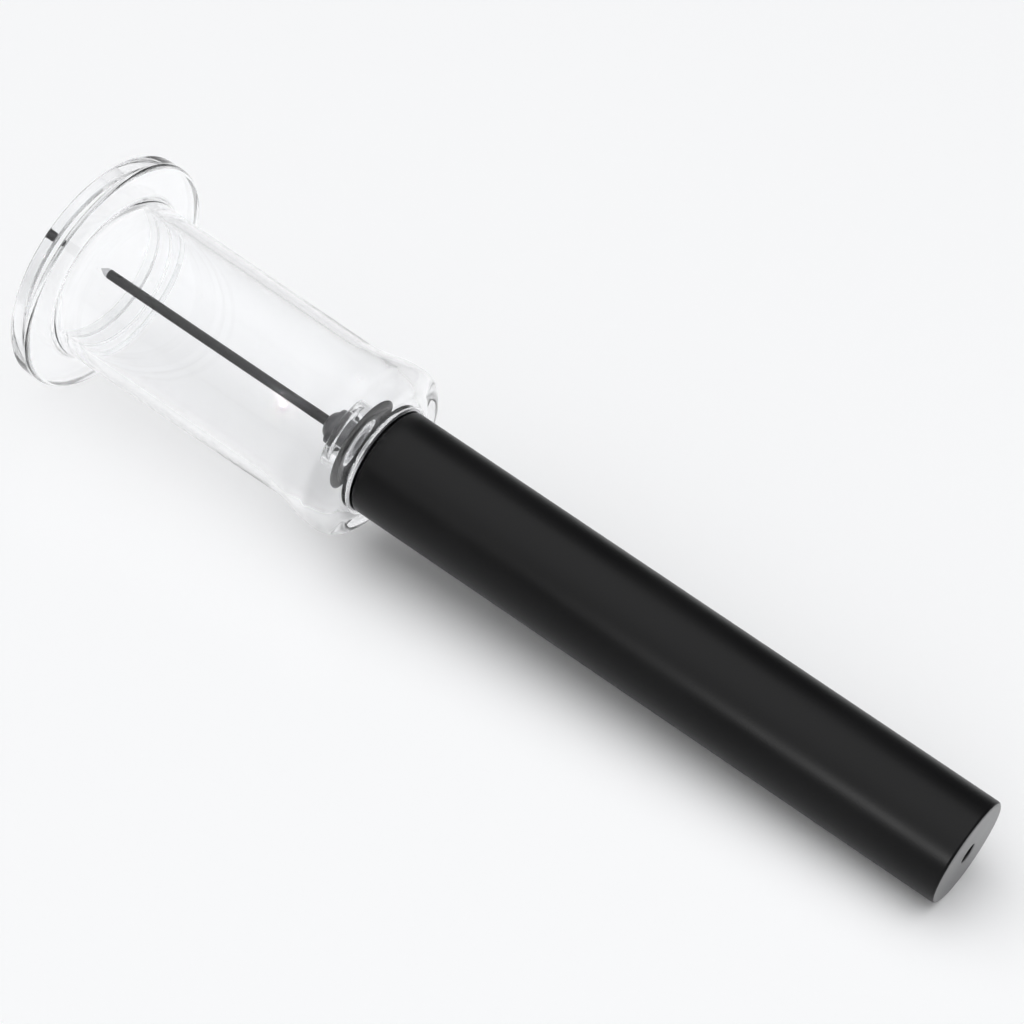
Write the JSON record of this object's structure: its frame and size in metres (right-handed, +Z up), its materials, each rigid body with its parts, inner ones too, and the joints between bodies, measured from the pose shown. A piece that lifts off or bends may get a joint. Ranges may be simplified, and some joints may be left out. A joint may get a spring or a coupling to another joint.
{
  "type": "hand-pump wine bottle opener",
  "caption": "Hand-pump wine opener: clear flanged hood over a thin hollow needle, and a long satin black pump handle with an air hole in its end.",
  "frame": {"origin": "on the floor, under the middle of the box of the opener lying on its side", "axes": "+X towards the handle's closed end, along the pump's axis seen from above; +Z up. The pump's axis dips 4.14 degrees below +X, because the mouth flange is wider than the handle"},
  "size_m": [0.207, 0.0502, 0.0503],
  "materials": {
    "clear_plastic": "water-clear polished moulding",
    "coated_steel": "dark non-stick coating, satin",
    "dark_metal": "dark plated, turned",
    "bright_metal": "bright plated",
    "steel": "zinc plated",
    "aluminium": "drawn tube, plain",
    "satin_black": "satin black moulding",
    "grey_plastic": "dark grey acetal",
    "black_rubber": "matt black rubber"
  },
  "bodies": {
    "handle": {"handle_shell": "satin_black", "pump_cylinder": "aluminium", "front_bush": "grey_plastic", "rod_wiper": "black_rubber", "bush_clip": "steel", "bumper": "black_rubber", "valve_body": "grey_plastic", "valve_body_o_ring": "black_rubber", "inlet_spring": "steel", "inlet_cage": "grey_plastic"},
    "piston": {"piston": "grey_plastic", "piston_o_ring": "black_rubber"},
    "hood": {"hood": "clear_plastic", "needle": "coated_steel", "needle_hub": "dark_metal", "hub_seal": "black_rubber", "lip_pad": "black_rubber", "front_ring": "bright_metal", "lock_washer": "steel", "rod_nut": "steel", "pump_rod": "bright_metal", "outlet_seat": "black_rubber", "outlet_spring": "steel", "piston_washer": "steel", "piston_nut": "steel"},
    "inlet_valve": {"inlet_disc": "black_rubber"},
    "outlet_valve": {"outlet_ball": "steel"}
  },
  "joints": [
    {"name": "pump_stroke", "type": "slide", "parent": "handle", "child": "piston", "axis": [-0.9974, 0, 0.0721], "range_m": [0, 0.09]},
    {"name": "handle_twist", "type": "hinge", "parent": "piston", "child": "hood", "pos_m": [-0.00203, 0, 0.0181], "axis": [0.9974, 0, -0.0721], "continuous": true},
    {"name": "inlet_lift", "type": "slide", "parent": "handle", "child": "inlet_valve", "axis": [-0.9974, 0, 0.0721], "range_m": [0, 0.0006], "stiffness_N_per_m": 60, "springref_m": -0.0008, "deforming": ["inlet_spring"]},
    {"name": "outlet_lift", "type": "slide", "parent": "hood", "child": "outlet_valve", "axis": [-0.9974, 0, 0.0721], "range_m": [0, 0.001], "stiffness_N_per_m": 50, "springref_m": -0.001, "deforming": ["outlet_spring"]}
  ]
}
